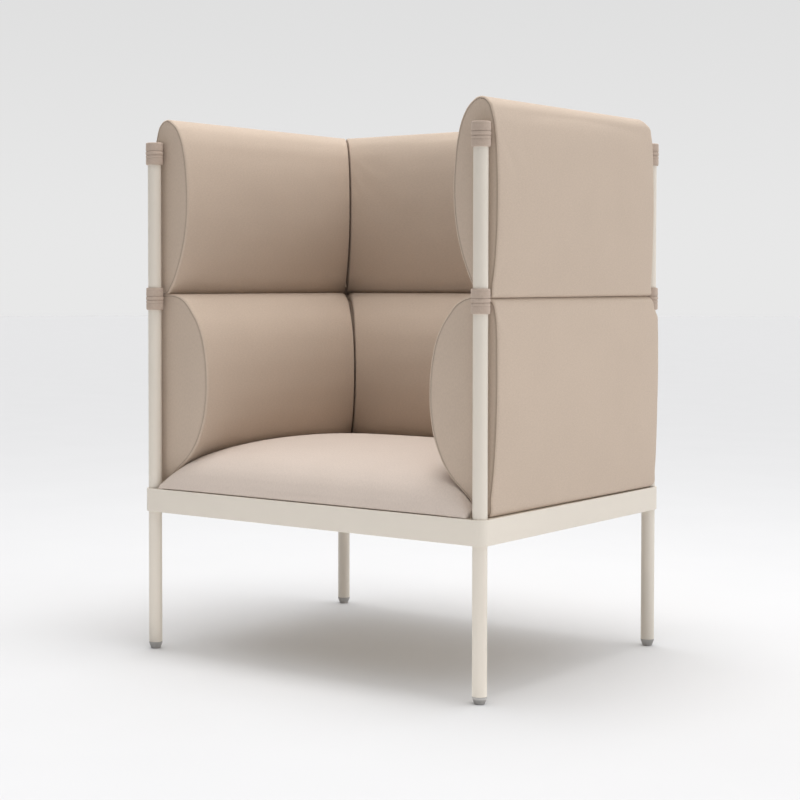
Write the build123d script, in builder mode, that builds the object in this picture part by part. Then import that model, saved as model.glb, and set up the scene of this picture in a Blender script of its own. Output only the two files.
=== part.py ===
"""High back lounge chair: tube posts, a steel seat band and seven upholstered cushions.

Millimetres. +Z is up, the front of the chair faces -Y, and the origin is on the floor midway
between the four posts.
"""
import os
from math import sqrt
from types import SimpleNamespace

from build123d import *

# Posts
post_pitch_x = 872.0
post_pitch_y = 712.0
post_d = 30.0
post_wall = 2.0

# Levelling glides
glide_h = 15.0
glide_floor_d = 22.0
glide_edge_r = 1.5
glide_rim_h = 2.5
glide_gap = 0.4
stud_d = 8.0
stud_seat = 8.0
stud_reach = 28.0
stud_fit = 0.06
insert_h = 34.0
insert_fit = 0.1

# Seat band
band_bottom = 314.0
band_h = 52.0
band_t = 4.0
band_edge_r = 0.8
weld_gap = 0.1

# Seat deck, its bearers and its screws
deck_t = 12.0
deck_fit = 0.5
bar_pitch = 300.0
bar_w = 30.0
bar_h = 20.0
bar_wall = 2.0
gusset_leg = 75.0
gusset_root = 20.0
gusset_t = 4.0
gusset_hole_in = 24.0
screw_d = 4.5
screw_head_d = 9.0
screw_head_h = 3.0
screw_fit = 0.1
screw_cover = 2.0
bar_screw_pitch = 480.0

# Strap sleeves and post caps
strap_h = 50.0
strap_wall = 4.6
strap_fit = 0.2
strap_groove_r = 0.9
strap_groove_first = 15.0
strap_groove_step = 7.0
strap_groove_count = 4
strap_edge_r = 1.2
top_strap_drop = 52.0
mid_strap_drop = 11.0
cap_head_h = 3.0
cap_recess = 1.0
cap_plug_h = 15.0
cap_fit = 0.1

# Wall cushions: gaps and ends
soft_gap = 0.4
mitre_gap = 0.6
tier_gap = 2.0
end_draw = 6.0

# Lower wall cushions, inwards and outwards from the post plane, heights from their bottom
lower_h = 439.0
lower_foot_out = 11.0
lower_foot_in = 8.0
lower_heel_in = 90.0
lower_heel_h = 81.0
lower_bulge_in = 137.0
lower_bulge_h = 246.0
lower_shoulder_in = 102.0
lower_shoulder_in_drop = 44.0
lower_crest_in = 22.0
lower_shoulder_out = 22.0
lower_shoulder_out_drop = 36.0
lower_bulge_out = 28.0
lower_back_r = 14.0
lower_top_r = 18.0

# Upper wall cushions, in the same way
upper_h = 392.0
upper_foot_out = 11.0
upper_foot_in = 21.0
upper_heel_in = 32.0
upper_heel_h = 19.0
upper_bulge_in = 81.0
upper_bulge_h = 213.0
upper_shoulder_in = 58.0
upper_shoulder_in_drop = 36.0
upper_crest_in = 19.5
upper_shoulder_out = 17.0
upper_shoulder_out_drop = 50.0
upper_bulge_out = 27.0
upper_back_r = 34.0
upper_top_r = 55.0

# Seat cushion
seat_edge_h = 88.0
seat_side_h = 92.0
seat_crown_h = 107.0
seat_crown_y = -60.0
seat_brow_back = 41.0
seat_brow_h = 78.0
seat_side_brow_h = 62.0
seat_nose_h = 45.0
seat_nose_out = 1.0

# Core boards of the wall cushions, their dowels and their screws
core_t = 12.0
core_end = 40.0
core_bottom = 14.0
core_top = 52.0
core_fit = 0.2
dowel_d = 7.0
dowel_seat = 30.0
dowel_fit = 0.1
dowel_pitch_side = 340.0
dowel_pitch_back = 420.0
panel_screw_d = 5.0
panel_screw_head_d = 10.0
panel_screw_head_h = 3.0
panel_screw_seat = 35.0
panel_screw_pitch_side = 300.0
panel_screw_pitch_back = 400.0

# Space that a cutting shape reaches past what it cuts
cut_over = 5.0

quarter_turn = 90.0

# Places that follow from the sizes above
half_x = post_pitch_x / 2
half_y = post_pitch_y / 2
post_r = post_d / 2
bore_r = post_r - post_wall
post_bottom = glide_h + glide_gap
band_in = post_r + weld_gap
band_out = band_in + band_t
band_mid = band_in + band_t / 2
band_top = band_bottom + band_h
band_mid_z = band_bottom + band_h / 2
deck_bottom = band_top - deck_t
bar_bottom = deck_bottom - bar_h
gusset_bottom = deck_bottom - gusset_t
strap_r = post_r + strap_fit + strap_wall
end_set = strap_r + soft_gap
lower_bottom = band_top
lower_top = lower_bottom + lower_h
upper_bottom = lower_top + tier_gap
upper_top = upper_bottom + upper_h
top_strap_top = upper_top - top_strap_drop
post_top = top_strap_top - cap_recess - cap_head_h
tier_line = lower_top + tier_gap / 2
mid_strap_top = tier_line - mid_strap_drop + strap_h / 2
mitre_in = mitre_gap / sqrt(2)
corners = {
    "front_left": (-1, -1),
    "front_right": (1, -1),
    "back_left": (-1, 1),
    "back_right": (1, 1),
}
on_top = (Align.CENTER, Align.CENTER, Align.MIN)
hung_below = (Align.CENTER, Align.CENTER, Align.MAX)

os.makedirs("parts", exist_ok=True)


def save(piece, name):
    """Label a finished piece and write it to its own file."""
    piece.part.label = name
    export_step(piece.part, f"parts/{name}.step")


def post_axis(name):
    """Place of a post on the floor."""
    side, end = corners[name]
    return side * half_x, end * half_y


def turning_plane(x, y):
    """Upright plane through a post axis: radius along its x, height along its y."""
    return Plane(origin=(x, y, 0), x_dir=(1, 0, 0), z_dir=(0, -1, 0))


# Posts, closed by a cap on top and a threaded insert below
for corner in corners:
    x, y = post_axis(corner)
    with BuildPart() as post:
        with BuildSketch(Plane((x, y, post_bottom))):
            Circle(post_r)
            Circle(bore_r, mode=Mode.SUBTRACT)
        extrude(amount=post_top - post_bottom)
    save(post, f"post_{corner}")

    with BuildPart() as cap:
        with BuildSketch(Plane((x, y, post_top))):
            Circle(post_r)
        extrude(amount=cap_head_h)
        with BuildSketch(Plane((x, y, post_top))):
            Circle(bore_r - cap_fit)
        extrude(amount=-cap_plug_h)
        rim = cap.faces().sort_by(Axis.Z)[-1].edges()
        fillet(rim, cap_head_h / 2)
    save(cap, f"post_cap_{corner}")

    with BuildPart() as insert:
        with BuildSketch(Plane((x, y, post_bottom))):
            Circle(bore_r - insert_fit)
            Circle(stud_d / 2 + stud_fit, mode=Mode.SUBTRACT)
        extrude(amount=insert_h)
    save(insert, f"leg_insert_{corner}")


# Levelling glides: a tapered foot moulded on a threaded stud
for corner in corners:
    x, y = post_axis(corner)
    socket_r = stud_d / 2 + insert_fit
    stud_bottom = glide_h - stud_seat
    with BuildPart() as foot:
        with BuildSketch(turning_plane(x, y)):
            with BuildLine():
                floor_r = glide_floor_d / 2
                sole = Line((0, 0), (floor_r - glide_edge_r, 0))
                edge = TangentArc(sole @ 1, (floor_r, glide_edge_r), tangent=(1, 0))
                Polyline(
                    edge @ 1,
                    (post_r, glide_h - glide_rim_h),
                    (post_r, glide_h),
                    (socket_r, glide_h),
                    (socket_r, stud_bottom),
                    (0, stud_bottom),
                    (0, 0),
                )
            make_face()
        revolve(axis=Axis((x, y, 0), (0, 0, 1)))
    save(foot, f"glide_foot_{corner}")

    with BuildPart() as stud:
        with BuildSketch(Plane((x, y, stud_bottom))):
            Circle(stud_d / 2)
        extrude(amount=stud_seat + stud_reach)
        chamfer(stud.faces().sort_by(Axis.Z)[-1].edges(), stud_d / 8)
    save(stud, f"glide_stud_{corner}")


# Seat band: four straight rails and four corners bent round the posts, of one flat bar
for name, end in (("rail_front", -1), ("rail_back", 1)):
    with BuildPart() as rail:
        cut_end = Plane((-half_x, end * (half_y + band_mid), band_mid_z), x_dir=(0, 1, 0), z_dir=(1, 0, 0))
        with BuildSketch(cut_end):
            RectangleRounded(band_t, band_h, band_edge_r)
        extrude(amount=post_pitch_x)
    save(rail, name)

for name, side in (("rail_left", -1), ("rail_right", 1)):
    with BuildPart() as rail:
        cut_end = Plane((side * (half_x + band_mid), half_y, band_mid_z), x_dir=(1, 0, 0), z_dir=(0, -1, 0))
        with BuildSketch(cut_end):
            RectangleRounded(band_t, band_h, band_edge_r)
        extrude(amount=post_pitch_y)
    save(rail, name)

for corner, (side, end) in corners.items():
    x, y = post_axis(corner)
    with BuildPart() as bend:
        with BuildSketch(turning_plane(x, y)):
            with Locations((side * band_mid, band_mid_z)):
                RectangleRounded(band_t, band_h, band_edge_r)
        revolve(axis=Axis((x, y, 0), (0, 0, side * end)), revolution_arc=quarter_turn)
    save(bend, f"rail_corner_{corner}")


# Seat deck with its bearers. Screws go up through gussets and bars into blind holes in the deck
gusset_screws = [
    (side * (half_x - gusset_hole_in), end * (half_y - gusset_hole_in))
    for side, end in corners.values()
]
bar_screws = [
    (side * bar_pitch / 2, end * bar_screw_pitch / 2) for side, end in corners.values()
]
side_screws = [
    (side * half_x, end * panel_screw_pitch_side / 2) for side, end in corners.values()
]
back_screws = [(side * panel_screw_pitch_back / 2, half_y) for side in (-1, 1)]
screw_r = screw_d / 2
screw_hole_r = screw_r + screw_fit
screw_tip = band_top - screw_cover
panel_screw_r = panel_screw_d / 2
panel_screw_hole_r = panel_screw_r + screw_fit
panel_screw_tip = lower_bottom + core_bottom + panel_screw_seat

with BuildPart() as deck:
    deck_x = post_pitch_x + 2 * (band_in - deck_fit)
    deck_y = post_pitch_y + 2 * (band_in - deck_fit)
    notch = 2 * (post_r + deck_fit)
    with BuildSketch(Plane.XY.offset(deck_bottom)):
        Rectangle(deck_x, deck_y)
        with GridLocations(post_pitch_x, post_pitch_y, 2, 2):
            Rectangle(notch, notch, mode=Mode.SUBTRACT)
    extrude(amount=deck_t)
    with Locations(*[(x, y, deck_bottom) for x, y in gusset_screws + bar_screws]):
        Cylinder(screw_hole_r, screw_tip + screw_fit - deck_bottom, align=on_top, mode=Mode.SUBTRACT)
    with Locations(*[(x, y, deck_bottom) for x, y in side_screws + back_screws]):
        Cylinder(panel_screw_hole_r, deck_t, align=on_top, mode=Mode.SUBTRACT)
save(deck, "seat_deck")

for name, side in (("cross_bar_left", -1), ("cross_bar_right", 1)):
    x = side * bar_pitch / 2
    bar_len = post_pitch_y + 2 * band_in
    with BuildPart() as bar:
        bar_end = Plane((x, bar_len / 2, bar_bottom + bar_h / 2), x_dir=(1, 0, 0), z_dir=(0, -1, 0))
        with BuildSketch(bar_end):
            Rectangle(bar_w, bar_h)
            Rectangle(bar_w - 2 * bar_wall, bar_h - 2 * bar_wall, mode=Mode.SUBTRACT)
        extrude(amount=bar_len)
        with Locations(*[(x, end * bar_screw_pitch / 2, bar_bottom) for end in (-1, 1)]):
            Cylinder(screw_hole_r, bar_h, align=on_top, mode=Mode.SUBTRACT)
    save(bar, name)

with BuildPart() as gussets:
    for side, end in corners.values():
        corner_plane = Plane(
            origin=(side * half_x, end * half_y, gusset_bottom),
            x_dir=(-side, 0, 0),
            z_dir=(0, 0, side * end),
        )
        with BuildSketch(corner_plane):
            Polygon(
                (-band_in, gusset_root),
                (-band_in, gusset_leg),
                (gusset_leg, -band_in),
                (gusset_root, -band_in),
                align=None,
            )
            Circle(post_r + weld_gap, mode=Mode.SUBTRACT)
            with Locations((gusset_hole_in, gusset_hole_in)):
                Circle(screw_hole_r, mode=Mode.SUBTRACT)
        extrude(amount=side * end * gusset_t)
save(gussets, "corner_gussets")


def screws(places, seat, tip, shank_r, head_r, head_h):
    """Add upward screws to the part in hand: heads under the seat height, tips above it."""
    with Locations(*[(x, y, seat) for x, y in places]):
        Cylinder(head_r, head_h, align=hung_below)
        Cylinder(shank_r, tip - seat, align=on_top)


with BuildPart() as deck_screws:
    screws(gusset_screws, gusset_bottom, screw_tip, screw_r, screw_head_d / 2, screw_head_h)
    screws(bar_screws, bar_bottom, screw_tip, screw_r, screw_head_d / 2, screw_head_h)
save(deck_screws, "deck_screws")

with BuildPart() as panel_screws:
    screws(
        side_screws + back_screws,
        deck_bottom,
        panel_screw_tip,
        panel_screw_r,
        panel_screw_head_d / 2,
        panel_screw_head_h,
    )
save(panel_screws, "panel_screws")


# Strap sleeves: fabric bands with sewn grooves, round each post at its top end and at mid height
for tier, strap_top in (("top", top_strap_top), ("mid", mid_strap_top)):
    for corner in corners:
        x, y = post_axis(corner)
        with BuildPart() as strap:
            with BuildSketch(turning_plane(x, y)) as band:
                with Locations((strap_r, strap_top)):
                    Rectangle(strap_wall, strap_h, align=(Align.MAX, Align.MAX))
                outer_corners = band.vertices().group_by(Axis.X)[-1]
                fillet(outer_corners, strap_edge_r)
                for groove in range(strap_groove_count):
                    depth = strap_groove_first + groove * strap_groove_step
                    with Locations((strap_r, strap_top - depth)):
                        Circle(strap_groove_r, mode=Mode.SUBTRACT)
            revolve(axis=Axis((x, y, 0), (0, 0, 1)))
        save(strap, f"strap_{tier}_{corner}")


# Wall cushions: a section along the wall, cut to a plan with mitred inner corners
lower = SimpleNamespace(
    bottom=lower_bottom,
    top=lower_top,
    foot_out=lower_foot_out,
    foot_in=lower_foot_in,
    heel=(lower_heel_in, lower_bottom + lower_heel_h),
    bulge_in=lower_bulge_in,
    bulge_z=lower_bottom + lower_bulge_h,
    shoulder_in=(lower_shoulder_in, lower_top - lower_shoulder_in_drop),
    crest_in=lower_crest_in,
    shoulder_out=(-lower_shoulder_out, lower_top - lower_shoulder_out_drop),
    bulge_out=lower_bulge_out,
    back_r=lower_back_r,
    top_r=lower_top_r,
)
upper = SimpleNamespace(
    bottom=upper_bottom,
    top=upper_top,
    foot_out=upper_foot_out,
    foot_in=upper_foot_in,
    heel=(upper_heel_in, upper_bottom + upper_heel_h),
    bulge_in=upper_bulge_in,
    bulge_z=upper_bottom + upper_bulge_h,
    shoulder_in=(upper_shoulder_in, upper_top - upper_shoulder_in_drop),
    crest_in=upper_crest_in,
    shoulder_out=(-upper_shoulder_out, upper_top - upper_shoulder_out_drop),
    bulge_out=upper_bulge_out,
    back_r=upper_back_r,
    top_r=upper_top_r,
)
lower_core_top = lower_top - core_top
upper_core_bottom = upper_bottom + core_bottom
dowel_r = dowel_d / 2
dowel_bottom = lower_core_top - dowel_seat
dowel_top = upper_core_bottom + dowel_seat
side_dowels = [
    (side * half_x, end * dowel_pitch_side / 2) for side, end in corners.values()
]
back_dowels = [(side * dowel_pitch_back / 2, half_y) for side in (-1, 1)]


def wall_section(plane, tier, draw):
    """Outline across a wall cushion: inwards along x, height along y, bulge drawn in by draw."""
    foot_out = (-tier.foot_out, tier.bottom)
    foot_in = (tier.foot_in, tier.bottom)
    crest = (tier.crest_in, tier.top)
    with BuildSketch(plane) as outline:
        with BuildLine():
            Polyline(foot_out, foot_in, tier.heel)
            ThreePointArc(tier.heel, (tier.bulge_in - draw, tier.bulge_z), tier.shoulder_in)
            TangentArc(crest, tier.shoulder_in, tangent=(1, 0))
            TangentArc(crest, tier.shoulder_out, tangent=(-1, 0))
            ThreePointArc(tier.shoulder_out, (-tier.bulge_out, tier.bulge_z), foot_out)
        make_face()
    return outline.sketch


def wall_holes(tier, places):
    """Cut the wall in hand for the dowels, and for the screws that hold a lower wall down."""
    with Locations(*[(x, y, dowel_bottom) for x, y in places]):
        Cylinder(dowel_r + dowel_fit, dowel_top - dowel_bottom, align=on_top, mode=Mode.SUBTRACT)
    if tier is lower:
        with Locations(*[(x, y, lower_bottom) for x, y in side_screws + back_screws]):
            height = panel_screw_tip + screw_fit - lower_bottom
            Cylinder(panel_screw_hole_r, height, align=on_top, mode=Mode.SUBTRACT)


def round_top_corner(tier, end, along, across):
    """Round the top corner of the wall in hand, at the end of its run along a direction."""
    corner = Plane((*end, tier.top + soft_gap), x_dir=along, z_dir=across)
    with BuildSketch(corner) as waste:
        with Locations((-tier.top_r, -tier.top_r)):
            Rectangle(tier.top_r + cut_over, tier.top_r + cut_over, align=(Align.MIN, Align.MIN))
            Circle(tier.top_r, mode=Mode.SUBTRACT)
    extrude(waste.sketch, amount=tier.bulge_in + cut_over, both=True, mode=Mode.SUBTRACT)


def side_core(tier, fit):
    """Upright board in the right wall, grown by fit on every side."""
    length = post_pitch_y - 2 * (end_set + core_end)
    height = tier.top - core_top - tier.bottom - core_bottom
    with BuildPart() as core:
        with Locations((half_x, 0, tier.bottom + core_bottom - fit)):
            Box(core_t + 2 * fit, length + 2 * fit, height + 2 * fit, align=on_top)
        if not fit:
            wall_holes(tier, side_dowels)
    return core


def back_core(tier, fit):
    """Upright board in the back wall, grown by fit on every side."""
    length = post_pitch_x - 2 * (end_set + core_end)
    height = tier.top - core_top - tier.bottom - core_bottom
    with BuildPart() as core:
        with Locations((0, half_y, tier.bottom + core_bottom - fit)):
            Box(length + 2 * fit, core_t + 2 * fit, height + 2 * fit, align=on_top)
        if not fit:
            wall_holes(tier, back_dowels)
    return core


def side_wall(tier):
    """Cushion along the right side, from behind the front post to the mitre at the back."""
    front = end_set - half_y
    back = half_y - end_set
    out = half_x + tier.bulge_out
    deep = tier.bulge_in + cut_over
    stations = ((front, end_draw), (0, 0), (half_y, end_draw))
    space = side_core(tier, core_fit)
    with BuildPart() as wall:
        sections = []
        for y, draw in stations:
            plane = Plane(origin=(half_x, y, 0), x_dir=(-1, 0, 0), z_dir=(0, 1, 0))
            sections.append(wall_section(plane, tier, draw))
        loft(sections)
        with BuildSketch(Plane.XY.offset(tier.bottom - cut_over)):
            with BuildLine():
                start = (out, front - cut_over)
                turn = (out, back - tier.back_r)
                Line(start, turn)
                corner = TangentArc(turn, (out - tier.back_r, back), tangent=(0, 1))
                Polyline(
                    corner @ 1,
                    (half_x - end_set + mitre_in, back),
                    (half_x - deep, half_y - deep - mitre_in),
                    (half_x - deep, front - cut_over),
                    start,
                )
            make_face()
        extrude(amount=tier.top - tier.bottom + 2 * cut_over, mode=Mode.INTERSECT)
        round_top_corner(tier, (half_x, back), along=(0, 1, 0), across=(1, 0, 0))
        add(space.part, mode=Mode.SUBTRACT)
        wall_holes(tier, side_dowels)
    return wall


def back_wall(tier):
    """Cushion along the back, between the mitres."""
    end = half_x - end_set
    out = half_y + tier.bulge_out
    deep = tier.bulge_in + cut_over
    stations = ((half_x, end_draw), (0, 0), (-half_x, end_draw))
    space = back_core(tier, core_fit)
    with BuildPart() as wall:
        sections = []
        for x, draw in stations:
            plane = Plane(origin=(x, half_y, 0), x_dir=(0, -1, 0), z_dir=(-1, 0, 0))
            sections.append(wall_section(plane, tier, draw))
        loft(sections)
        with BuildSketch(Plane.XY.offset(tier.bottom - cut_over)):
            with BuildLine():
                right = TangentArc((end - tier.back_r, out), (end, out - tier.back_r), tangent=(1, 0))
                left = TangentArc((tier.back_r - end, out), (-end, out - tier.back_r), tangent=(-1, 0))
                Line(left @ 0, right @ 0)
                Polyline(
                    right @ 1,
                    (end, half_y - end_set + mitre_in),
                    (half_x - deep - mitre_in, half_y - deep),
                    (deep + mitre_in - half_x, half_y - deep),
                    (-end, half_y - end_set + mitre_in),
                    left @ 1,
                )
            make_face()
        extrude(amount=tier.top - tier.bottom + 2 * cut_over, mode=Mode.INTERSECT)
        for side in (-1, 1):
            round_top_corner(tier, (side * end, half_y), along=(side, 0, 0), across=(0, -side, 0))
        add(space.part, mode=Mode.SUBTRACT)
        wall_holes(tier, back_dowels)
    return wall


for name, tier in (("lower", lower), ("upper", upper)):
    for piece, make_side, make_back in (
        ("cushion", side_wall(tier), back_wall(tier)),
        ("core", side_core(tier, 0), back_core(tier, 0)),
    ):
        save(make_side, f"{name}_{piece}_right")
        save(make_back, f"{name}_{piece}_back")
        with BuildPart() as other_side:
            mirror(make_side.part, about=Plane.YZ)
        save(other_side, f"{name}_{piece}_left")

with BuildPart() as dowels:
    with Locations(*[(x, y, dowel_bottom) for x, y in side_dowels + back_dowels]):
        Cylinder(dowel_r, dowel_top - dowel_bottom, align=on_top)
save(dowels, "panel_dowels")


# Seat cushion: side views that rise to a crown amidships, cut to sloping sides
seat_bottom = band_top
seat_edge_z = seat_bottom + seat_edge_h
heel_slope = (lower_heel_in - lower_foot_in) / lower_heel_h
seat_foot_in = lower_foot_in + soft_gap
seat_edge_in = seat_foot_in + seat_edge_h * heel_slope
seat_brim_in = seat_foot_in + seat_crown_h * heel_slope
seat_nose_y = -half_y - band_in + soft_gap


def seat_section(x, crown_h, brow_h):
    """Side view of the seat at a place across it, with its crown and the brow over its nose."""
    back_edge = (half_y - seat_edge_in, seat_edge_z)
    brow = (seat_brow_back - half_y, seat_bottom + brow_h)
    nose = (-half_y - seat_nose_out, seat_bottom + seat_nose_h)
    nose_foot = (seat_nose_y, seat_bottom)
    with BuildSketch(Plane.YZ.offset(x)) as outline:
        with BuildLine():
            ThreePointArc(back_edge, (seat_crown_y, seat_bottom + crown_h), brow)
            ThreePointArc(brow, nose, nose_foot)
            Polyline(nose_foot, (half_y - seat_foot_in, seat_bottom), back_edge)
        make_face()
    return outline.sketch


with BuildPart() as seat:
    side_view = (seat_side_h, seat_side_brow_h)
    middle_view = (seat_crown_h, seat_brow_h)
    stations = ((-half_x, side_view), (0, middle_view), (half_x, side_view))
    loft([seat_section(x, *view) for x, view in stations])
    with BuildSketch(Plane.XZ):
        Polygon(
            (half_x - seat_foot_in, seat_bottom),
            (half_x - seat_brim_in, seat_bottom + seat_crown_h),
            (seat_brim_in - half_x, seat_bottom + seat_crown_h),
            (seat_foot_in - half_x, seat_bottom),
            align=None,
        )
    extrude(amount=half_y + band_out, both=True, mode=Mode.INTERSECT)
    with GridLocations(post_pitch_x, post_pitch_y, 2, 2):
        with Locations((0, 0, seat_bottom)):
            Cylinder(post_r + soft_gap, seat_crown_h, align=on_top, mode=Mode.SUBTRACT)
save(seat, "seat_cushion")
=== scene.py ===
from math import atan2, cos, exp, pi, radians, sin

import bmesh
import bpy
from mathutils import Euler, Matrix, Vector, noise


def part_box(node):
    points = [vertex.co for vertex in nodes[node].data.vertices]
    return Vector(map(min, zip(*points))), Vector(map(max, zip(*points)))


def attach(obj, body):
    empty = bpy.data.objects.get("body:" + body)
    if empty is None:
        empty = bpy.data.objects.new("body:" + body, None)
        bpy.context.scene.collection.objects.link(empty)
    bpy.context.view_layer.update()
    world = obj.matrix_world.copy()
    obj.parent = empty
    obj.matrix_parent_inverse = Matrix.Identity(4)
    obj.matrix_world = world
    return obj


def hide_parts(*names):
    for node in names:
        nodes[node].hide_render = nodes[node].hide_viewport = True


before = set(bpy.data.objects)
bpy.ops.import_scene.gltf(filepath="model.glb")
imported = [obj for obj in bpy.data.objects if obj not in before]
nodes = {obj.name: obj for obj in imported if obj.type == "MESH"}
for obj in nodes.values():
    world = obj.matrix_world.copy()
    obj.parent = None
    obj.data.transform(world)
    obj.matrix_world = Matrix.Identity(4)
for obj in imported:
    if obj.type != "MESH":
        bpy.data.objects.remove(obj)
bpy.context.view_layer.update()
scene = bpy.context.scene
scene.view_settings.view_transform = "Standard"

MM = 0.001
CORNERS = ("front_left", "front_right", "back_left", "back_right")
WALLS = ("left", "right", "back")


# Finishes

def plug(tree, socket, value):
    """Link a signal to a socket, or set the socket to a plain value."""
    if isinstance(value, Signal):
        tree.links.new(value.socket, socket)
    else:
        socket.default_value = value


class Signal:
    """The output of a node. Arithmetic on it adds Math nodes to its tree."""

    def __init__(self, tree, socket):
        self.tree, self.socket = tree, socket

    def maths(self, operation, *values):
        node = self.tree.nodes.new("ShaderNodeMath")
        node.operation = operation
        for socket, value in zip(node.inputs, values):
            plug(self.tree, socket, value)
        return Signal(self.tree, node.outputs[0])

    def __add__(self, other):
        return self.maths("ADD", self, other)

    def __sub__(self, other):
        return self.maths("SUBTRACT", self, other)

    def __rsub__(self, other):
        return self.maths("SUBTRACT", other, self)

    def __mul__(self, other):
        return self.maths("MULTIPLY", self, other)

    def __abs__(self):
        return self.maths("ABSOLUTE", self)

    __radd__ = __add__
    __rmul__ = __mul__

    def wave(self):
        """Its sine."""
        return self.maths("SINE", self)


class Web:
    """A tree of nodes."""

    def __init__(self, tree):
        self.tree = tree

    def node(self, kind, settings=None, sockets=None, out=0):
        """Add a node: its settings first, then the values or links of its sockets."""
        node = self.tree.nodes.new("ShaderNode" + kind)
        for name, value in (settings or {}).items():
            setattr(node, name, value)
        for name, value in (sockets or {}).items():
            plug(self.tree, node.inputs[name], value)
        return Signal(self.tree, node.outputs[out])

    def ease(self, value, low, high):
        """A smooth step from 0 at the low value to 1 at the high one."""
        return self.node("MapRange", {"interpolation_type": "SMOOTHSTEP"}, {0: value, 1: low, 2: high})


class Finish(Web):
    """A material for one kind of surface of the chair."""

    def __init__(self, name):
        self.material = bpy.data.materials.new(name)
        self.material.use_nodes = True
        super().__init__(self.material.node_tree)
        self.shader = self.tree.nodes["Principled BSDF"]

    def place(self):
        """Object coordinates, in metres."""
        return self.node("TexCoord", out="Object")

    def noise(self, scale, vector=None, detail=2.0, roughness=0.5):
        return self.node("TexNoise", sockets={
            "Vector": vector or self.place(), "Scale": scale, "Detail": detail, "Roughness": roughness})

    def blend(self, share, first, second):
        """A colour between two colours."""
        return self.node("Mix", {"data_type": "RGBA"}, {0: share, 6: first, 7: second}, out=2)

    def bump(self, height, distance, strength=1.0):
        return self.node("Bump", sockets={"Height": height, "Distance": distance, "Strength": strength})

    def shade(self, **sockets):
        """Set or link sockets of the shader, such as base_color for its Base Color."""
        for name, value in sockets.items():
            plug(self.tree, self.shader.inputs[name.replace("_", " ").title().replace("Ior", "IOR")], value)


def tint(red, green, blue, share=1.0):
    """A colour with alpha, lighter or darker by that share."""
    return (red * share, green * share, blue * share, 1.0)


# Streaks in the cloth, per metre: slubs in the threads, across and along them,
# and the crepe of the whole cloth.
SLUB_ACROSS, SLUB_ALONG = 1300, 160
CREPE_ACROSS, CREPE_ALONG = 330, 150
# Painted shade in the seams: how dark the cloth is painted down in a seam's groove, as a share of its colour.
SEAM_PAINTED_SHADE = 0.26
CLOTH_SHEEN = (0.86, 0.77, 0.69)


def woven_cloth(name, colour, thread, painted_seam_shade=0.46):
    """A fine plain weave that follows the cover's own map, with painted shade down in the seams."""
    cloth = Finish(name)
    spot = cloth.node("UVMap", {"uv_map": "weave"})
    across = cloth.node("SeparateXYZ", sockets={0: spot}, out=0)
    along = cloth.node("SeparateXYZ", sockets={0: spot}, out=1)
    warp = (across * (pi / thread)).wave()
    weft = (along * (pi / thread)).wave()
    cell = warp * weft

    def streaks(per_width, per_length, detail=2.0):
        stretched = cloth.node("CombineXYZ", sockets={0: across * per_width, 1: along * per_length})
        return cloth.noise(1.0, stretched, detail=detail)

    slub = streaks(SLUB_ACROSS, SLUB_ALONG)
    fleck = streaks(SLUB_ALONG, SLUB_ACROSS)
    crepe = streaks(CREPE_ACROSS, CREPE_ALONG, detail=3.0)
    cloud = cloth.noise(9.0, detail=3.0)
    # The seam layer marks where painted shade darkens the cloth down in the seam grooves.
    seam = cloth.node("Attribute", {"attribute_name": "seam"}, out="Fac")
    grain = (0.5 + cell * 0.16 + (slub - 0.5) * 0.5 + (fleck - 0.5) * 0.5
             + (crepe - 0.5) * 0.9 + (cloud - 0.5) * 0.35)
    body = cloth.blend(grain, tint(*colour, 0.9), tint(*colour, 1.1))
    cloth.shade(
        base_color=cloth.blend(seam * painted_seam_shade, body, tint(*colour, SEAM_PAINTED_SHADE)),
        roughness=0.84 + cell * 0.05,
        normal=cloth.bump(abs(cell) + (slub + fleck) * 0.6 + crepe * 2.2, 0.00022, 0.6),
        sheen_weight=0.26, sheen_roughness=0.5, sheen_tint=tint(*CLOTH_SHEEN), specular_ior_level=0.15)
    return cloth.material


def powder_paint(name, colour):
    """Satin powder paint: a fine orange peel and a faint change of gloss."""
    paint = Finish(name)
    peel = paint.noise(620.0, detail=1.5)
    haze = paint.noise(14.0, detail=3.0)
    paint.shade(
        base_color=paint.blend(haze, tint(*colour, 0.975), tint(*colour, 1.02)),
        roughness=0.36 + haze * 0.1 + peel * 0.04,
        normal=paint.bump(peel, 0.00012, 0.5),
        specular_ior_level=0.45)
    return paint.material


def moulded_plastic(name, colour):
    """Fine spark textured plastic, scuffed a little lighter in places."""
    plastic = Finish(name)
    spark = plastic.noise(1500.0, detail=2.0)
    scuff = plastic.noise(90.0, detail=4.0, roughness=0.65)
    plastic.shade(
        base_color=plastic.blend(scuff, tint(*colour, 0.88), tint(*colour, 1.14)),
        roughness=0.5 + spark * 0.15,
        normal=plastic.bump(spark, 0.0001, 0.6),
        specular_ior_level=0.4)
    return plastic.material


ZINC_DULL, ZINC_BRIGHT = (0.50, 0.51, 0.52), (0.64, 0.64, 0.62)
DRAWN_STREAKS = (900.0, 900.0, 40.0)


def zinc_steel(name):
    """Zinc plated steel, drawn along its length."""
    steel = Finish(name)
    drawn = steel.noise(1.0, steel.node("Mapping", {"vector_type": "POINT"}, {
        "Vector": steel.place(), "Scale": DRAWN_STREAKS}), detail=2.0)
    stain = steel.noise(60.0, detail=3.0)
    steel.shade(
        base_color=steel.blend(stain, tint(*ZINC_DULL), tint(*ZINC_BRIGHT)),
        metallic=1.0,
        roughness=0.3 + drawn * 0.2,
        normal=steel.bump(drawn, 0.00006, 0.4))
    return steel.material


PLY_DARK, PLY_PALE = (0.60, 0.51, 0.40), (0.80, 0.72, 0.61)
PLY_PITCH = 3 * MM
PLY_GRAIN = (14.0, 260.0, 60.0)


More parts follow.
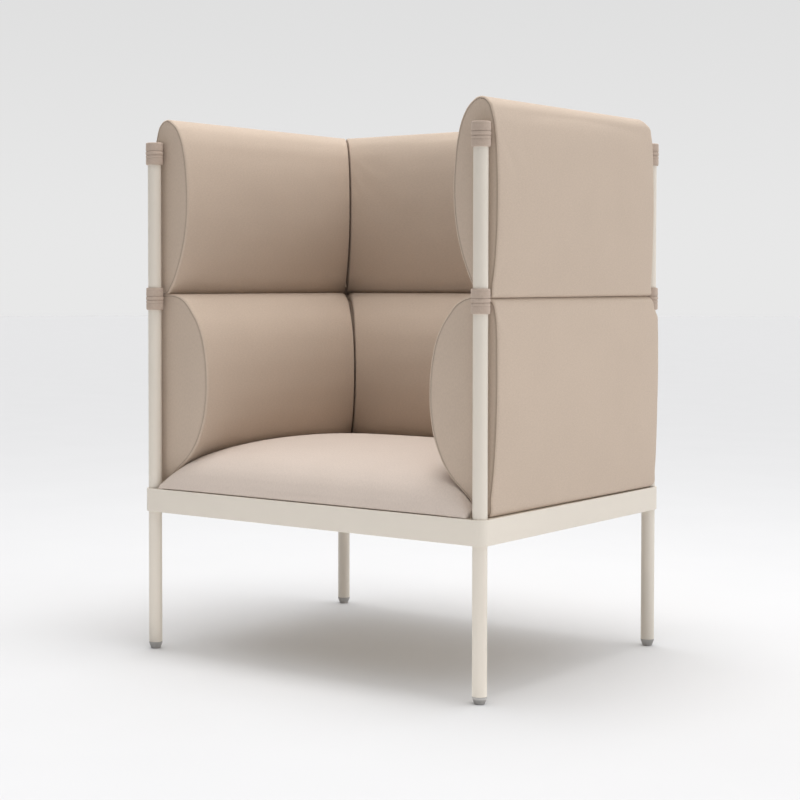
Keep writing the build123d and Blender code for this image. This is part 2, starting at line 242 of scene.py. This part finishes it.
def birch_ply(name):
    """Raw birch plywood: plies in the edge, long grain on the faces."""
    ply = Finish(name)
    place = ply.place()
    height = ply.node("SeparateXYZ", sockets={0: place}, out=2)
    plies = (height * (2 * pi / PLY_PITCH)).wave()
    grain = ply.noise(1.0, ply.node("Mapping", {"vector_type": "POINT"}, {
        "Vector": place, "Scale": PLY_GRAIN}), detail=4.0, roughness=0.6)
    ply.shade(
        base_color=ply.blend(grain * 0.75 + plies * 0.12, tint(*PLY_DARK), tint(*PLY_PALE)),
        roughness=0.55 + grain * 0.2,
        normal=ply.bump(grain, 0.0002, 0.5),
        specular_ior_level=0.3)
    return ply.material


WALL_CLOTH = (0.520, 0.420, 0.338)
# Painted light: the seat's cloth is the walls' cloth made lighter and cooler, for the stronger light on the
# seat's top.
SEAT_CLOTH_PAINTED_LIGHT = (0.617, 0.528, 0.464)
STRAP_CLOTH = (0.470, 0.375, 0.310)
CREAM = (0.703, 0.644, 0.564)
GLIDE_GREY = (0.40, 0.385, 0.37)
CAP_CREAM = (0.62, 0.59, 0.53)
COVER_THREAD, STRAP_THREAD = 1.3 * MM, 1.7 * MM

wall_cloth = woven_cloth("wall_cloth", WALL_CLOTH, COVER_THREAD)
seat_cloth_painted_light = woven_cloth("seat_cloth_painted_light", SEAT_CLOTH_PAINTED_LIGHT, COVER_THREAD)
# The webbing takes a lighter painted shade in its grooves than the covers take in their seams.
strap_cloth = woven_cloth("strap_webbing", STRAP_CLOTH, STRAP_THREAD, painted_seam_shade=0.22)
cream_paint = powder_paint("cream_powder_paint", CREAM)
grey_plastic = moulded_plastic("glide_plastic", GLIDE_GREY)
cap_plastic = moulded_plastic("cap_plastic", CAP_CREAM)
steel = zinc_steel("zinc_steel")
plywood = birch_ply("birch_plywood")

NODE_FINISHES = (
    ("post_cap_", cap_plastic), ("post_", cream_paint), ("rail_", cream_paint),
    ("corner_gussets", cream_paint), ("cross_bar_", cream_paint), ("leg_insert_", steel),
    ("glide_foot_", grey_plastic), ("glide_stud_", steel), ("deck_screws", steel), ("panel_screws", steel),
    ("panel_dowels", plywood), ("seat_deck", plywood), ("lower_core_", plywood), ("upper_core_", plywood))
for name, node in nodes.items():
    for start, finish in NODE_FINISHES:
        if name.startswith(start):
            node.data.materials.clear()
            node.data.materials.append(finish)
            break


# Sizes from the frame

def middle(node):
    """The middle of a CAD node's box."""
    low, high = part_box(node)
    return (low + high) / 2


POST = middle("post_front_right")
POST_X, POST_Y = POST.x, -POST.y
LOWER_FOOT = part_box("lower_cushion_left")[0].z
UPPER_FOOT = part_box("upper_cushion_left")[0].z
SEAT_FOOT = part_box("seat_cushion")[0].z
PANEL_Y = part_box("lower_cushion_left")[0].y

# Sections of the walls: height over the foot, outer side, inner side, all in mm; the sides are
# measured inwards from the line of the posts.
LOWER_ROWS = (
    (1, -8, 6), (39, -14, 47), (83, -19.5, 93), (134, -23.5, 121), (189, -26.5, 135),
    (246, -28, 138.5), (309, -28, 133), (364, -27, 117), (402, -23.5, 93), (430.5, -13, 64))
LOWER_CREST = (25, 439.6)
UPPER_ROWS = (
    (-5.5, -11, 12), (17, -15, 33), (58, -21.5, 53), (103, -25.5, 68), (153, -27.5, 78),
    (208, -28, 81.5), (263, -26.5, 79), (318, -22.5, 71), (358, -15, 58), (383, -4, 39))
UPPER_CREST = (17, 393.5)

# Steps of the mesh: between two knots of a section, round a soft end, and along the walls,
# closer at both ends.
KNOT_STEPS = 6
SOFT_STEPS = 5
SIDE_STATIONS, BACK_STATIONS = 46, 54
END_CROWDING = 0.09
NEAR_END, FAR_END = 1, 2

# Ends of the walls: room for a post, gap between two walls, tilt at which the outer top corner is fully
# rounded, height over which the lap past a post fades out, and the largest rounding as a share of the
# wall's thickness.
POST_ROOM = 20.2 * MM
MITRE_GAP = 0.05 * MM
CORNER_TILT = 0.6
LAP_FADE = 22 * MM
ROUNDING_SHARE = 0.3

# The side walls get fuller outside towards the back: up to that depth past the posts,
# by a share of what is missing.
FULL_DEPTH = 27 * MM
SIDE_FULLNESS = 0.6

# Front panels of the side walls, their seams, and the small folds along the seams.
PANEL_SINK = 2.5 * MM
PANEL_RIM = 5 * MM
SEAM_WIDTH, SEAM_DEPTH = 1.8 * MM, 1.6 * MM
PUCKER = 0.8 * MM
PUCKER_PITCH, PUCKER_FADE = 15 * MM, 11 * MM
PUCKER_FROM, PUCKER_TO = 0.5 * MM, 45 * MM
DRIFT_ROUND, DRIFT_ACROSS = 18, 3
DRIFT_TURN = 5

# Filling: how far from an end or a foot the cover is held, how much of a front panel is, and from which
# height the lower walls are held under the upper ones.
HOLD_REACH = 70 * MM
FOOT_HOLD = 14 * MM
PANEL_HOLD = 0.5
TOP_HOLD, TOP_EASE = 370 * MM, 54 * MM
# How far a cover starts inside its shape, how far it may end up inside or outside it,
# and its share of filling.
SLACK = 3.0 * MM
DENT = 0.4 * MM
SWELL = 4.0 * MM
FILLING_FRAMES = 20
WALL_FILL, SEAT_FILL = 0.9, 0.95


# Tools for the covers

def smooth_step(value):
    """An eased ramp from 0 to 1."""
    value = min(1.0, max(0.0, value))
    return value * value * (3 - 2 * value)


def closed_line(points):
    """A smooth closed line through points in the XZ plane, as a bmesh with its length kept on each vertex."""
    curve = bpy.data.curves.new("outline", "CURVE")
    curve.dimensions = "3D"
    spline = curve.splines.new("BEZIER")
    spline.bezier_points.add(len(points) - 1)
    spline.use_cyclic_u = True
    spline.resolution_u = KNOT_STEPS
    for knot, (side, height) in zip(spline.bezier_points, points):
        knot.co = (side, 0.0, height)
        knot.handle_left_type = knot.handle_right_type = "AUTO"
    spline.bezier_points[0].handle_left_type = "VECTOR"
    spline.bezier_points[-1].handle_right_type = "VECTOR"
    holder = bpy.data.objects.new("outline", curve)
    mesh = bpy.data.meshes.new_from_object(holder)
    line = bmesh.new()
    line.from_mesh(mesh)
    bpy.data.objects.remove(holder)
    bpy.data.curves.remove(curve)
    bpy.data.meshes.remove(mesh)
    girth = line.verts.layers.float.new("girth")
    line.verts.ensure_lookup_table()
    for before, after in zip(line.verts[:-1], line.verts[1:]):
        after[girth] = before[girth] + (after.co - before.co).length
    return line


def draw_out(bm, face, first):
    """Extrude the end face of a cover by one step; the old face stays only where it closes the first end."""
    made = bmesh.ops.extrude_face_region(bm, geom=[face])["geom"]
    if not first:
        bmesh.ops.delete(bm, geom=[face], context="FACES_ONLY")
    ring = [part for part in made if isinstance(part, bmesh.types.BMVert)]
    return ring, next(part for part in made if isinstance(part, bmesh.types.BMFace))


def by_girth(bm, verts):
    """The vertices in their order round the cover."""
    girth = bm.verts.layers.float["girth"]
    return sorted(verts, key=lambda vert: vert[girth])


def lace_end(bm, ring):
    """Lay rungs across an end of a wall cover, from its outer side to its inner side."""
    last = len(ring) - 1
    for step in range(1, last // 2):
        for rung in bmesh.ops.connect_verts(bm, verts=[ring[step], ring[last - step]])["edges"]:
            rung.seam = True


def lay_weave(bm):
    """Map the weave in metres: round and along the cover, and straight across its ends."""
    girth = bm.verts.layers.float["girth"]
    end = bm.faces.layers.int["end"]
    weave = bm.loops.layers.uv.new("weave")
    for face in bm.faces:
        for loop in face.loops:
            vert = loop.vert
            loop[weave].uv = (vert.co.x, vert.co.z) if face[end] else (vert[girth], vert.co.y)


def sew_edge(bm, edges, width, depth):
    """Turn an edge into a sewn seam: a narrow band with its middle pulled in, held and marked for painted
    shade.
    """
    seam = bm.verts.layers.float["seam"]
    held = bm.verts.layers.float["held"]
    made = bmesh.ops.bevel(
        bm, geom=edges, offset=width, offset_type="OFFSET", affect="EDGES",
        segments=2, profile=0.5, material=-1)
    band = set(made["faces"])
    bm.normal_update()
    for vert in made["verts"]:
        vert[held] = 1.0
        # The middle of the band is pulled in and marked for painted shade down in the seam.
        if all(face in band for face in vert.link_faces):
            vert[seam] = 1.0
            vert.co -= vert.normal * depth


def add_object(bm, name, finish, smooth=True):
    """Turn the bmesh into an object of the scene with that finish."""
    mesh = bpy.data.meshes.new(name)
    bm.to_mesh(mesh)
    bm.free()
    for face in mesh.polygons:
        face.use_smooth = smooth
    mesh.materials.append(finish)
    piece = bpy.data.objects.new(name, mesh)
    scene.collection.objects.link(piece)
    return piece


def sewn_piece(bm, name, finish, node):
    """Make the bmesh a piece of the chair that stands for its CAD node."""
    bmesh.ops.recalc_face_normals(bm, faces=bm.faces)
    piece = add_object(bm, name, finish)
    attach(piece, "chair")
    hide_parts(node)
    return piece


def padded_cover(bm, name, finish, node, fill):
    """Make the bmesh the cover of a cushion."""
    piece = sewn_piece(bm, name, finish, node)
    return piece


def layer_values(mesh, name):
    """The values of a working layer, by vertex."""
    return [entry.value for entry in mesh.attributes[name].data]


def puff_up(covers):
    """Fill the covers: cloth under pressure, held along its seams and where it rests on its neighbours."""
    shapes = []
    for piece in covers:
        shape = [(vert.co.copy(), vert.normal.copy()) for vert in piece.data.vertices]
        shapes.append(shape)
        pins = piece.vertex_groups.new(name="held")
        for vert, (spot, normal), hold in zip(piece.data.vertices, shape, layer_values(piece.data, "held")):
            vert.co = spot - normal * (SLACK * (1 - hold))
            if hold == 1:
                pins.add([vert.index], 1.0, "REPLACE")
        cloth = piece.modifiers.new("filling", "CLOTH")
        cloth.settings.quality = 6
        cloth.settings.mass = 0.3
        cloth.settings.tension_stiffness = cloth.settings.compression_stiffness = 20
        cloth.settings.shear_stiffness = 12
        cloth.settings.bending_stiffness = 1.5
        cloth.settings.use_pressure = True
        cloth.settings.uniform_pressure_force = 4.0
        cloth.settings.effector_weights.gravity = 0
        cloth.settings.vertex_group_mass = "held"
        cloth.point_cache.frame_start, cloth.point_cache.frame_end = 1, FILLING_FRAMES
    for step in range(1, FILLING_FRAMES + 1):
        scene.frame_set(step)
    graph = bpy.context.evaluated_depsgraph_get()
    for piece, shape in zip(covers, shapes):
        filled = [vert.co.copy() for vert in piece.evaluated_get(graph).data.vertices]
        for vert, (spot, normal), moved in zip(piece.data.vertices, shape, filled):
            rise = (moved - spot).dot(normal)
            vert.co = spot + normal * (SWELL * (1 - exp(-rise / SWELL)) if rise > 0 else max(rise, -DENT))
        piece.modifiers.clear()
        piece.vertex_groups.clear()
    scene.frame_set(1)


def pucker(piece, front):
    """Draw the cover in small folds along the seam round its front panel."""
    mesh = piece.data
    for vert, girth, seam in zip(mesh.vertices, layer_values(mesh, "girth"), layer_values(mesh, "seam")):
        reach = vert.co.y - front
        if seam < 0.5 and PUCKER_FROM < reach < PUCKER_TO:
            drift = noise.noise((girth * DRIFT_ROUND, vert.co.x * DRIFT_ACROSS, 0.5))
            fold = 0.5 + 0.5 * sin(2 * pi * girth / PUCKER_PITCH + DRIFT_TURN * drift)
            vert.co -= vert.normal * (PUCKER * fold * exp(-reach / PUCKER_FADE) * (0.6 + drift))


def soften(piece):
    """Drop the working layers and smooth the cover once."""
    for name in ("spot", "out", "soft", "near_soft", "held", "girth", "end"):
        if name in piece.data.attributes:
            piece.data.attributes.remove(piece.data.attributes[name])
    smooth = piece.modifiers.new("smooth cover", "SUBSURF")
    smooth.levels = smooth.render_levels = 1


# Wall cushions

def wall_points(rows, crest, foot):
    """The section of a wall as points: up its outer side, over the crest and down its inner side."""
    outer = [(side * MM, foot + height * MM) for height, side, _ in rows]
    inner = [(side * MM, foot + height * MM) for height, _, side in reversed(rows)]
    return outer + [(crest[0] * MM, foot + crest[1] * MM)] + inner


class Ends:
    """How a wall ends: rounding of its outer and inner sides, top, outer top corner and foot in mm, and how
    far it laps the post outside it, from which depth to which, up to which height."""

    def __init__(self, outer, inner, top, corner, foot, lip, lap_from, lap_to, lap_top):
        self.outer, self.inner, self.top, self.corner, self.foot = (
            radius * MM for radius in (outer, inner, top, corner, foot))
        self.lip, self.lap_from, self.lap_to, self.lap_top = (
            length * MM for length in (lip, lap_from, lap_to, lap_top))

    def radius(self, facing):
        """How far the end is rounded off where the cover faces that way."""
        side = self.inner if facing.x > 0 else self.outer
        rise = self.foot
        if facing.z > 0:
            rise = self.top + (self.corner - self.top) * min(1.0, max(0.0, -facing.x / CORNER_TILT))
        return side * facing.x ** 2 + rise * facing.z ** 2

    def mitre(self, half, spot):
        """Where the wall ends at that spot of its section: at 45 degrees to the next wall, past the post."""
        lap = smooth_step((self.lap_from - spot.x) / (self.lap_from - self.lap_to))
        lap *= smooth_step((self.lap_top - spot.z) / LAP_FADE)
        return half - max(spot.x, POST_ROOM) - MITRE_GAP + self.lip * lap


def straight(share):
    """A station at a share of the way along a wall, between its rounded ends."""
    def lay(first, last, first_soft, last_soft):
        start, stop = first + first_soft, last - last_soft
        return start + (stop - start) * share, 0.0
    return lay


def near_turn(angle):
    """A station in the rounding of the near end."""
    def lay(first, last, first_soft, last_soft):
        return first + first_soft * (1 - sin(angle)), first_soft * (1 - cos(angle))
    return lay


def far_turn(angle):
    """A station in the rounding of the far end."""
    def lay(first, last, first_soft, last_soft):
        return last - last_soft * (1 - sin(angle)), last_soft * (1 - cos(angle))
    return lay


def along_wall(count):
    """Straight stations, closer together towards both ends."""
    for step in range(count):
        share = step / count
        yield straight(share - END_CROWDING * sin(2 * pi * share))


def wall_stations(count):
    """All stations of a wall, from its near end to its far end."""
    turns = [pi / 2 * turn / SOFT_STEPS for turn in range(SOFT_STEPS + 1)]
    stations = [near_turn(angle) for angle in reversed(turns)]
    stations += list(along_wall(count))[1:]
    return stations + [far_turn(angle) for angle in turns]


def wall_cover(points, ends, first_end, last_end, stations, rim, fuller):
    """A closed tube of that section through the stations, fuller outside towards its far end; the rim is the
    rounding round a flat panel at the near end, or 0 for an end like the far one."""
    bm = closed_line(points)
    spot = bm.verts.layers.float_vector.new("spot")
    out = bm.verts.layers.float_vector.new("out")
    soft = bm.verts.layers.float.new("soft")
    near_soft = bm.verts.layers.float.new("near_soft")
    held = bm.verts.layers.float.new("held")
    bm.verts.layers.float.new("seam")
    end = bm.faces.layers.int.new("end")
    near = bm.verts[:]
    last = len(near) - 1
    foot, top = points[0][1], points[len(points) // 2][1]
    for step, vert in enumerate(near):
        run = near[(step + 1) % len(near)].co - near[step - 1].co
        facing = Vector((-run.z, 0, run.x)).normalized()
        width = (vert.co - near[last - step].co).length if vert.co.z < (foot + top) / 2 else 1.0
        vert[spot], vert[out] = vert.co, facing
        vert[soft] = min(ends.radius(facing), width * ROUNDING_SHARE)
        vert[near_soft] = min(rim, width * ROUNDING_SHARE) if rim else vert[soft]
    face = bmesh.ops.edgeloop_fill(bm, edges=bm.edges[:])["faces"][0]
    ring = near
    for count, station in enumerate(stations):
        if count:
            ring, face = draw_out(bm, face, count == 1)
        for vert in ring:
            swell = Vector((min(0.0, vert[out].x) * fuller * max(0.0, FULL_DEPTH + vert[spot].x), 0, 0))
            first, far = first_end(vert[spot]), last_end(vert[spot] + swell)
            y, inset = station(first, far, vert[near_soft], vert[soft])
            vert.co = vert[spot] + swell * smooth_step((y - first) / (far - first)) - vert[out] * inset
            vert.co.y = y
            reach = min(far - vert[soft] - y, y - first - vert[near_soft], vert[spot].z - foot - FOOT_HOLD)
            vert[held] = 1 - smooth_step(reach / HOLD_REACH)
    face[end] = FAR_END
    next(part for part in bm.faces if len(part.verts) > 4 and part != face)[end] = NEAR_END
    lace_end(bm, by_girth(bm, near))
    lace_end(bm, by_girth(bm, ring))
    girth = bm.verts.layers.float["girth"]
    whole = max(vert[girth] for vert in bm.verts)
    rungs = [edge for edge in bm.edges
             if edge.seam or abs(edge.verts[0][girth] - edge.verts[1][girth]) == whole]
    bmesh.ops.subdivide_edges(bm, edges=rungs, cuts=KNOT_STEPS, use_grid_fill=True)
    for edge in bm.edges:
        edge.seam = False
    for vert in bm.verts:
        marks = {part[end] for part in vert.link_faces}
        if marks == {FAR_END}:
            vert.co.y = last_end(vert.co)
            vert[held] = 1.0
        if marks == {NEAR_END}:
            vert.co.y = first_end(vert.co)
            vert[held] = PANEL_HOLD if rim else 1.0
    return bm


def side_wall(rows, crest, foot, ends):
    """A side cushion in its own frame: depth into the wall along x, front to back along y."""
    front = PANEL_Y + PANEL_SINK
    bm = wall_cover(wall_points(rows, crest, foot), ends,
                    lambda spot: front, lambda spot: ends.mitre(POST_Y, spot),
                    wall_stations(SIDE_STATIONS), rim=PANEL_RIM, fuller=SIDE_FULLNESS)
    lay_weave(bm)
    end = bm.faces.layers.int["end"]
    rim = [edge for edge in bm.edges if {face[end] for face in edge.link_faces} == {NEAR_END, 0}]
    sew_edge(bm, rim, SEAM_WIDTH, SEAM_DEPTH)
    return bm


def back_wall(rows, crest, foot, ends):
    """The back cushion in its own frame, like a side one but the same at both ends."""
    bm = wall_cover(wall_points(rows, crest, foot), ends,
                    lambda spot: -ends.mitre(POST_X, spot), lambda spot: ends.mitre(POST_X, spot),
                    wall_stations(BACK_STATIONS), rim=0.0, fuller=0.0)
    lay_weave(bm)
    return bm


LEFT_PLACE = Matrix.Translation((-POST_X, 0, 0))
RIGHT_PLACE = Matrix.Translation((POST_X, 0, 0)) @ Matrix.Scale(-1, 4, (1, 0, 0))
BACK_PLACE = Matrix.Translation((0, POST_Y, 0)) @ Matrix.Rotation(-pi / 2, 4, "Z")
LOWER_ENDS = Ends(
    outer=6, inner=5, top=21, corner=16, foot=5, lip=15.5, lap_from=-16, lap_to=-23, lap_top=775)
UPPER_ENDS = Ends(
    outer=14, inner=5, top=6, corner=58, foot=17, lip=-4, lap_from=-10, lap_to=-18, lap_top=3000)

wall_covers = []
for tier, rows, crest, foot, ends in (
        ("lower", LOWER_ROWS, LOWER_CREST, LOWER_FOOT, LOWER_ENDS),
        ("upper", UPPER_ROWS, UPPER_CREST, UPPER_FOOT, UPPER_ENDS)):
    for wall, place in zip(WALLS, (LEFT_PLACE, RIGHT_PLACE, BACK_PLACE)):
        make = back_wall if wall == "back" else side_wall
        bm = make(rows, crest, foot, ends)
        if tier == "lower":
            held = bm.verts.layers.float["held"]
            for vert in bm.verts:
                vert[held] = max(vert[held], smooth_step((vert.co.z - foot - TOP_HOLD) / TOP_EASE))
        bmesh.ops.transform(bm, matrix=place, verts=bm.verts)
        wall_covers.append(padded_cover(
            bm, f"{tier}_{wall}_cover", wall_cloth, f"{tier}_cushion_{wall}", WALL_FILL))


# Seat cushion

# The seat from front to back in mm: place, height over its foot.
SEAT_LINE = (
    (-370.5, 0.6), (-370.3, 12), (-366, 29), (-357, 47), (-340, 64), (-313, 79), (-262, 91.5), (-180, 101.5),
    (-60, 107), (60, 105), (160, 98), (235, 89), (268, 80), (305, 45), (333, 12), (338, 0.6))
# Its sides: where the mesh ends and where the height starts, inwards from the posts, and how fast it rises.
SEAT_EDGE = 17 * MM
SEAT_SIDE = 9 * MM
SEAT_ROLL = 42 * MM
# Its steps across, in part crowded towards both sides and in part even.
SEAT_STATIONS = 64
CROWDED, EVEN = 0.55, 0.45
# Under the walls: rows of the wall's inner side that count, gap to it, least height left
# and softness of the bend.
HEEL_ROWS = 6
HEEL_GAP = 1.5 * MM
HEEL_LEAST = 0.3 * MM
HEEL_BLEND = 5 * MM
NO_WALL = 1.0
# Its flat sole, and how far from the sole and the walls the cover is held.
SEAT_SOLE = 0.6 * MM
SEAT_FREE, SEAT_HOLD = 8 * MM, 40 * MM


def seat_share(x):
    """How much of its full height the seat has at a place across it."""
    return 1 - exp(-(POST_X - abs(x) - SEAT_SIDE) / SEAT_ROLL)


def heel_height(depth):
    """How high the inner side of a lower wall stands over its foot at that depth."""
    line = [(side * MM, height * MM) for height, _, side in LOWER_ROWS[:HEEL_ROWS]]
    for (side, height), (next_side, next_height) in zip(line, line[1:]):
        if depth < next_side:
            return height + (next_height - height) * (depth - side) / (next_side - side)
    return NO_WALL


def lower_of(first, second, blend):
    """The lower of two heights, eased from one to the other."""
    share = max(0.0, blend - abs(first - second)) / blend
    return min(first, second) - share * share * blend / 4


def seat_cover():
    """The domed seat, drawn out from left to right and bent down under the walls."""
    bm = closed_line([(y * MM, SEAT_FOOT + height * MM) for y, height in SEAT_LINE])
    held = bm.verts.layers.float.new("held")
    bmesh.ops.rotate(bm, verts=bm.verts, cent=(0, 0, 0), matrix=Matrix.Rotation(pi / 2, 3, "Z"))
    half = POST_X - SEAT_EDGE
    turns = [pi * step / SEAT_STATIONS for step in range(SEAT_STATIONS + 1)]
    stations = [-half * (CROWDED * cos(turn) + EVEN * (1 - 2 * turn / pi)) for turn in turns]
    ground = Matrix.Translation((0, 0, -SEAT_FOOT))
    face = bmesh.ops.edgeloop_fill(bm, edges=bm.edges[:])["faces"][0]
    x = stations[0]
    bmesh.ops.translate(bm, verts=bm.verts, vec=(x, 0, 0))
    bmesh.ops.scale(bm, verts=bm.verts, vec=(1, 1, seat_share(x)), space=ground)
    for next_x in stations[1:]:
        ring, face = draw_out(bm, face, x == stations[0])
        bmesh.ops.translate(bm, verts=ring, vec=(next_x - x, 0, 0))
        bmesh.ops.scale(bm, verts=ring, vec=(1, 1, seat_share(next_x) / seat_share(x)), space=ground)
        x = next_x
    for vert in bm.verts:
        depth = min(POST_X - abs(vert.co.x), POST_Y - vert.co.y)
        room = LOWER_FOOT + max(heel_height(depth) - HEEL_GAP, HEEL_LEAST)
        reach = min(room - vert.co.z - SEAT_FREE, vert.co.z - SEAT_FOOT - SEAT_FREE)
        vert[held] = 1 - smooth_step(reach / SEAT_HOLD)
        vert.co.z = max(lower_of(vert.co.z, room, HEEL_BLEND), min(vert.co.z, SEAT_FOOT + SEAT_SOLE))
    weave = bm.loops.layers.uv.new("weave")
    girth = bm.verts.layers.float["girth"]
    for face in bm.faces:
        for loop in face.loops:
            loop[weave].uv = (loop.vert.co.x, loop.vert[girth])
    return bm


# The seat cover takes the lighter cloth: painted light for the light on its top.
seat = padded_cover(seat_cover(), "seat_cover", seat_cloth_painted_light, "seat_cushion", SEAT_FILL)

puff_up(wall_covers + [seat])
for cover in wall_covers:
    if "back" not in cover.name:
        pucker(cover, PANEL_Y + PANEL_SINK)
for cover in wall_covers + [seat]:
    soften(cover)


# Strap sleeves

STRAP_RADIUS = 19.4 * MM
STRAP_STEPS = 48
# One sleeve from the top down in mm: depth under its top edge, radius.
STRAP_LINE = (
    (1.6, 15.4), (0.3, 16.2), (0.0, 17.4), (0.7, 18.6), (2.2, 19.3), (4.0, 19.2), (5.2, 19.0), (6.5, 19.2),
    (12.0, 19.4), (17.0, 19.4), (18.2, 19.0), (19.0, 17.7), (19.8, 18.9), (21.0, 19.6), (23.5, 19.75),
    (26.0, 19.6), (27.2, 19.0), (28.0, 17.5), (28.8, 18.8), (30.0, 19.4), (33.0, 19.4), (34.2, 19.1),
    (35.0, 18.5), (35.8, 19.05), (38.0, 19.3), (44.0, 19.2), (47.6, 19.0), (49.2, 18.5), (49.9, 17.4),
    (49.7, 16.2), (49.0, 15.4))
# Sewn grooves: depth under the top edge in mm, share of the painted shade put down in the groove.
STRAP_GROOVES = {5.2: 0.25, 19.0: 1.0, 28.0: 1.0, 35.0: 0.6}


def strap_sleeve(name, node):
    """A ribbed band of webbing round a post."""
    spot, top = middle(node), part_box(node)[1].z
    bm = bmesh.new()
    seam = bm.verts.layers.float.new("seam")
    knots = [bm.verts.new((radius * MM, 0, top - depth * MM)) for depth, radius in STRAP_LINE]
    # Painted shade in the grooves, by the share given for each groove.
    for knot, (depth, _) in zip(knots, STRAP_LINE):
        knot[seam] = STRAP_GROOVES.get(depth, 0.0)
    edges = [bm.edges.new(pair) for pair in zip(knots, knots[1:] + knots[:1])]
    bmesh.ops.spin(bm, geom=knots + edges, cent=(0, 0, 0), axis=(0, 0, 1), angle=2 * pi,
                   steps=STRAP_STEPS, use_merge=True)
    bmesh.ops.remove_doubles(bm, verts=bm.verts, dist=0.001 * MM)
    weave = bm.loops.layers.uv.new("weave")
    for face in bm.faces:
        centre = face.calc_center_median()
        middle_turn = atan2(centre.y, centre.x)
        for loop in face.loops:
            turn = atan2(loop.vert.co.y, loop.vert.co.x)
            turn += 2 * pi * round((middle_turn - turn) / (2 * pi))
            loop[weave].uv = (turn * STRAP_RADIUS, loop.vert.co.z)
    bmesh.ops.translate(bm, verts=bm.verts, vec=(spot.x, spot.y, 0))
    sewn_piece(bm, name, strap_cloth, node)


for corner in CORNERS:
    for level in ("top", "mid"):
        strap_sleeve(f"{level}_sleeve_{corner}", f"strap_{level}_{corner}")


# Floor, light and camera

FLOOR_DARK, FLOOR_PALE = (0.657, 0.657, 0.664), (0.677, 0.677, 0.684)
FLOOR_RADIUS = 40.0
floor_paper = Finish("floor_paper")
floor_paper.shade(
    base_color=floor_paper.blend(floor_paper.noise(3.0), tint(*FLOOR_DARK), tint(*FLOOR_PALE)),
    roughness=0.9, specular_ior_level=0.1)
bm = bmesh.new()
bmesh.ops.create_circle(bm, cap_ends=True, segments=96, radius=FLOOR_RADIUS)
add_object(bm, "floor", floor_paper.material, smooth=False)

# The camera sees a plain pale backdrop that fades upwards. The chair is lit by more light from behind and
# from overhead, and by less from the front; the ranges are parts of the direction's x, y and z.
BACKDROP_LOW = 0.807
BACKDROP_FADE, FADE_TOP = 0.07, 0.2
FRONT_LIGHT = 0.15
SIDE_LIGHT = 1.36
OPEN_X, OPEN_Y = 0.15, 0.97
OPEN_FROM, OPEN_TO = -0.8, 0.3
OVERHEAD_LIGHT = 2.1
OVERHEAD_FROM, OVERHEAD_TO = 0.6, 1.0
world = bpy.data.worlds.new("studio")
scene.world = world
world.use_nodes = True
studio = Web(world.node_tree)
gaze = studio.node("TexCoord", out="Generated")
gaze_x, gaze_y, gaze_z = (studio.node("SeparateXYZ", sockets={0: gaze}, out=axis) for axis in range(3))
backdrop = BACKDROP_LOW - studio.ease(gaze_z, 0.0, FADE_TOP) * BACKDROP_FADE
behind = studio.ease(gaze_x * OPEN_X + gaze_y * OPEN_Y, OPEN_FROM, OPEN_TO)
open_side = FRONT_LIGHT + behind * (1 - FRONT_LIGHT)
overhead = studio.ease(gaze_z, OVERHEAD_FROM, OVERHEAD_TO)
glow = backdrop * open_side * (1 - overhead) * SIDE_LIGHT + overhead * OVERHEAD_LIGHT
seen = studio.node("LightPath", out="Is Camera Ray")
sky = studio.tree.nodes["Background"]
plug(studio.tree, sky.inputs["Strength"], backdrop * seen + glow * (1 - seen))
plug(studio.tree, sky.inputs["Color"], (1.0, 1.0, 1.0, 1.0))


def softbox(name, spot, aim, size, power):
    """A round area light that the camera doesn't see: place and aim in metres, diameter, watts."""
    lamp = bpy.data.lights.new(name, "AREA")
    lamp.shape, lamp.size, lamp.energy = "DISK", size, power
    holder = bpy.data.objects.new(name, lamp)
    holder.location = spot
    holder.rotation_euler = (Vector(aim) - Vector(spot)).to_track_quat("-Z", "Y").to_euler()
    holder.visible_camera = False
    scene.collection.objects.link(holder)


softbox("top_light", (0.2, 0.05, 4.1), (0.0, -0.05, 0.4), 1.75, 54)
softbox("right_card", (1.9, 0.2, 0.01), (1.9, 0.2, 1.0), 2.0, 8)
softbox("front_card", (0.2, -1.45, 0.01), (0.2, -1.45, 1.0), 2.4, 9)

# The camera, as fitted to the posts, feet and band of the chair: place in metres, angles in degrees.
CAMERA_SPOT = (2.298135, -3.271233, 0.832235)
CAMERA_DIP, CAMERA_TURN = 1.77844, 37.7912
camera = bpy.data.cameras.new("camera")
camera.sensor_width = 36.0
camera.lens = 79.0187
camera.shift_x, camera.shift_y = 0.1, -0.0789
camera.clip_end = 100.0
viewer = bpy.data.objects.new("camera", camera)
viewer.location = CAMERA_SPOT
viewer.rotation_euler = Euler((radians(90 - CAMERA_DIP), 0.0, radians(CAMERA_TURN)), "XYZ")
scene.collection.objects.link(viewer)
scene.camera = viewer

bpy.context.view_layer.update()
